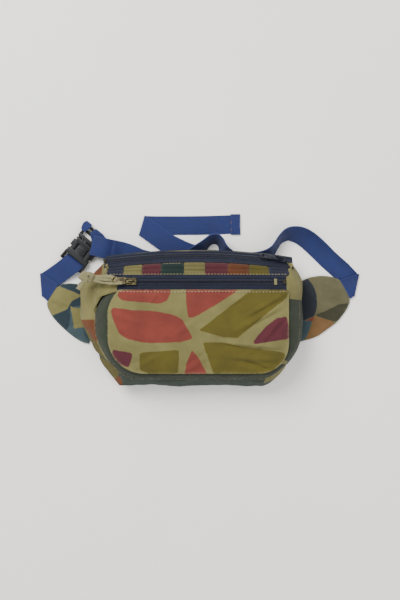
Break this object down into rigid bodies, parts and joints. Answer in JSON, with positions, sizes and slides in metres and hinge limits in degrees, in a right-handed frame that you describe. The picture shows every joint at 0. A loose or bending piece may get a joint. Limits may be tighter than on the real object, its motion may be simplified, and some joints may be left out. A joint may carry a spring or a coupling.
{
  "type": "waist pack",
  "caption": "Patchwork canvas waist pack lying on its back, with a zipped main compartment, a zipped front pocket, hip wings and a webbing belt with a side-release buckle.",
  "frame": {"origin": "on the back panel's outer face, in the middle of the main compartment's bulge", "axes": "+X across the pack towards the wing on the viewer's right, +Y towards its top edge, +Z out of the front panel"},
  "size_m": [0.3986, 0.2113, 0.0687],
  "materials": {
    "khaki_canvas": "matte",
    "grey_canvas": "matte",
    "navy_canvas": "matte",
    "maroon_canvas": "matte",
    "green_canvas": "matte",
    "rust_canvas": "matte",
    "mustard_canvas": "matte",
    "teal_canvas": "matte",
    "olive_canvas": "matte",
    "webbing": "satin",
    "zip_tape": "matte",
    "zip_teeth": "satin",
    "aged_brass": "worn satin",
    "buckle_plastic": "satin",
    "foam": "matte"
  },
  "bodies": {
    "pack": {"back_panel": "khaki_canvas", "back_foam": "foam", "left_side_panel": "khaki_canvas", "bottom_panel": "grey_canvas", "right_side_panel": "khaki_canvas", "top_back_panel": "khaki_canvas", "pocket_divider": "grey_canvas", "front_panel": "khaki_canvas", "pocket_band_left": "grey_canvas", "pocket_band_bottom": "grey_canvas", "pocket_band_right": "grey_canvas", "main_zip_tape_back": "zip_tape", "main_zip_tape_front": "zip_tape", "main_zip_teeth": "zip_teeth", "front_zip_tape_upper": "zip_tape", "front_zip_tape_lower": "zip_tape", "front_zip_teeth": "zip_teeth", "zip_stops": "aged_brass", "zip_bartack": "khaki_canvas", "patch_navy_left": "navy_canvas", "patch_khaki_left": "khaki_canvas", "patch_maroon_left": "maroon_canvas", "patch_green": "green_canvas", "patch_khaki_middle": "khaki_canvas", "patch_maroon_right": "maroon_canvas", "patch_orange": "rust_canvas", "patch_mustard": "mustard_canvas", "patch_navy_right": "navy_canvas", "left_strap_run": "webbing", "belt_run": "webbing", "belt_left": "webbing", "tail_left": "webbing", "tail_strap": "webbing", "buckle_female": "buckle_plastic"},
    "left_wing": {"left_wing_face": "teal_canvas", "left_wing_foam": "foam", "left_wing_back": "olive_canvas", "left_strap_tip": "webbing"},
    "right_wing": {"right_wing_face": "olive_canvas", "right_wing_foam": "foam", "right_wing_back": "olive_canvas", "belt_right_tip": "webbing"},
    "main_slider": {"main_slider": "zip_teeth"},
    "main_pull": {"main_pull": "zip_teeth"},
    "front_slider": {"front_slider": "aged_brass"},
    "front_pull": {"front_pull": "aged_brass", "pull_strip": "khaki_canvas"},
    "buckle_male": {"buckle_male": "buckle_plastic"},
    "prong_upper": {"prong_upper": "buckle_plastic"},
    "prong_lower": {"prong_lower": "buckle_plastic"}
  },
  "joints": [
    {"name": "front_zip", "type": "slide", "parent": "pack", "child": "front_slider", "axis": [1, 0, 0], "range_m": [0, 0.16], "deforming": ["pull_strip"]},
    {"name": "front_pull_swing", "type": "hinge", "parent": "front_slider", "child": "front_pull", "pos_m": [-0.071, 0.04514, 0.06084], "axis": [0, 0.9336, -0.3584], "range_deg": [0, 170], "deforming": ["pull_strip"]},
    {"name": "main_zip", "type": "hinge", "parent": "pack", "child": "main_slider", "pos_m": [0.0049, -0.3561, -0.3787], "axis": [0, -0.6947, 0.7193], "range_deg": [0, 17.5]},
    {"name": "main_pull_swing", "type": "hinge", "parent": "main_slider", "child": "main_pull", "pos_m": [0.10794, 0.07303, 0.03571], "axis": [0, 0.6947, -0.7193], "range_deg": [0, 170]},
    {"name": "buckle_release", "type": "slide", "parent": "pack", "child": "buckle_male", "axis": [0.6428, 0.766, 0], "range_m": [0, 0.032], "deforming": ["belt_left", "tail_left"]},
    {"name": "prong_upper_flex", "type": "hinge", "parent": "buckle_male", "child": "prong_upper", "pos_m": [-0.13934, 0.10004, 0.0049], "axis": [0, 0, 1], "range_deg": [0, 7], "stiffness_Nm_per_rad": 0.3},
    {"name": "prong_lower_flex", "type": "hinge", "parent": "buckle_male", "child": "prong_lower", "pos_m": [-0.12034, 0.0841, 0.0049], "axis": [0, 0, 1], "range_deg": [-7, 0], "stiffness_Nm_per_rad": 0.3},
    {"name": "left_wing_fold", "type": "hinge", "parent": "pack", "child": "left_wing", "pos_m": [-0.1263, 0, 0.0005], "axis": [0, 1, 0], "range_deg": [0, 30]},
    {"name": "right_wing_fold", "type": "hinge", "parent": "pack", "child": "right_wing", "pos_m": [0.1263, 0, 0.0005], "axis": [0, -1, 0], "range_deg": [0, 30]}
  ],
  "couplings": [
    {"joint": "prong_lower_flex", "follows": "prong_upper_flex", "ratio": -1}
  ]
}
